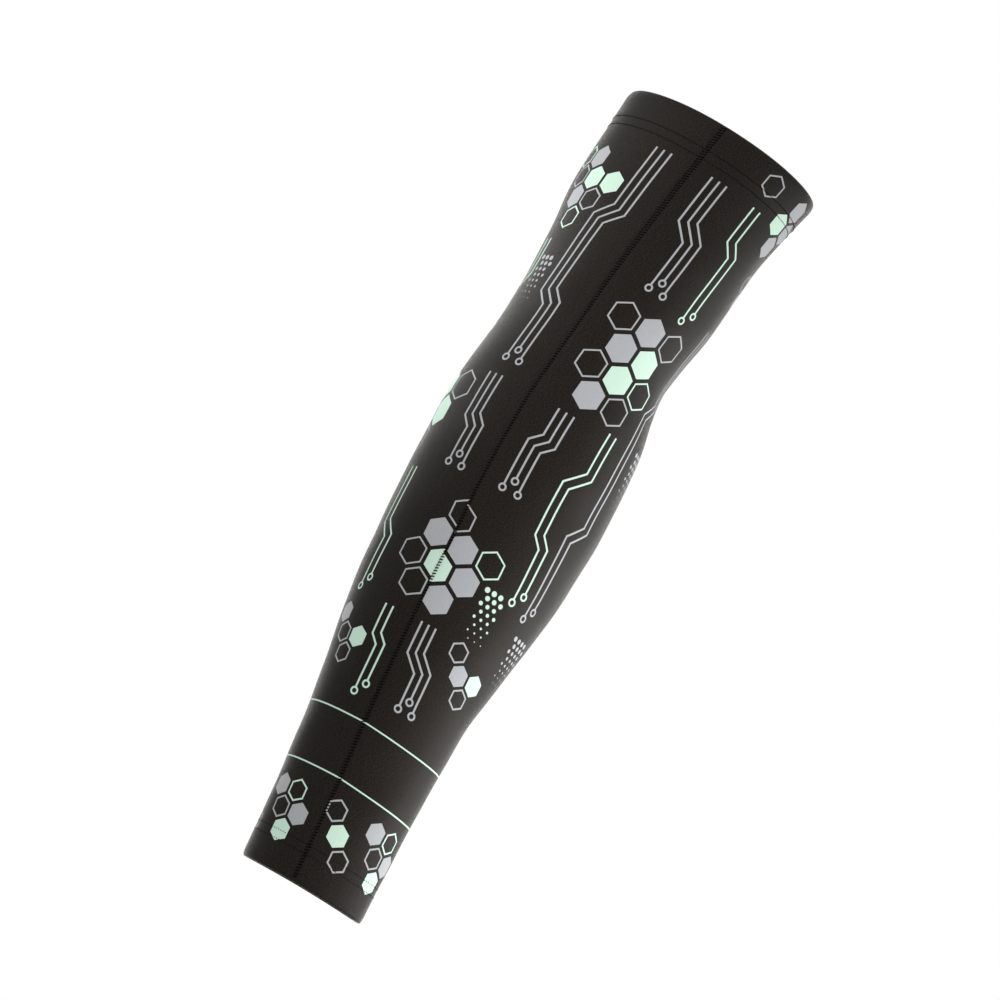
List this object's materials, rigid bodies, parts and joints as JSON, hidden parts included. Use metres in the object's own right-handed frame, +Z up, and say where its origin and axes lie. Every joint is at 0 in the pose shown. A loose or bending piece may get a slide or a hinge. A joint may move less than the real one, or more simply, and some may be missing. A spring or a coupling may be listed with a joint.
{
  "type": "gaming arm sleeve",
  "caption": "Knitted compression arm sleeve for gaming, a seamed tube from upper arm to wrist with folded, stitched hems and open ends.",
  "frame": {"origin": "centre of the upper-arm opening, in the plane of the rim", "axes": "+Z up the arm towards the shoulder, +X towards the inner bend of the elbow, -Y through the front seam"},
  "size_m": [0.1065, 0.0908, 0.4039],
  "materials": {
    "knit": "printed warm-black nylon and elastane warp knit, matt with a soft sheen",
    "seam_thread": "black polyester sewing thread laid in a close zigzag"
  },
  "bodies": {
    "root": {"sleeve_panel": "knit", "upper_hem": "knit", "wrist_hem": "knit", "flatlock_seam": "seam_thread"}
  },
  "joints": []
}
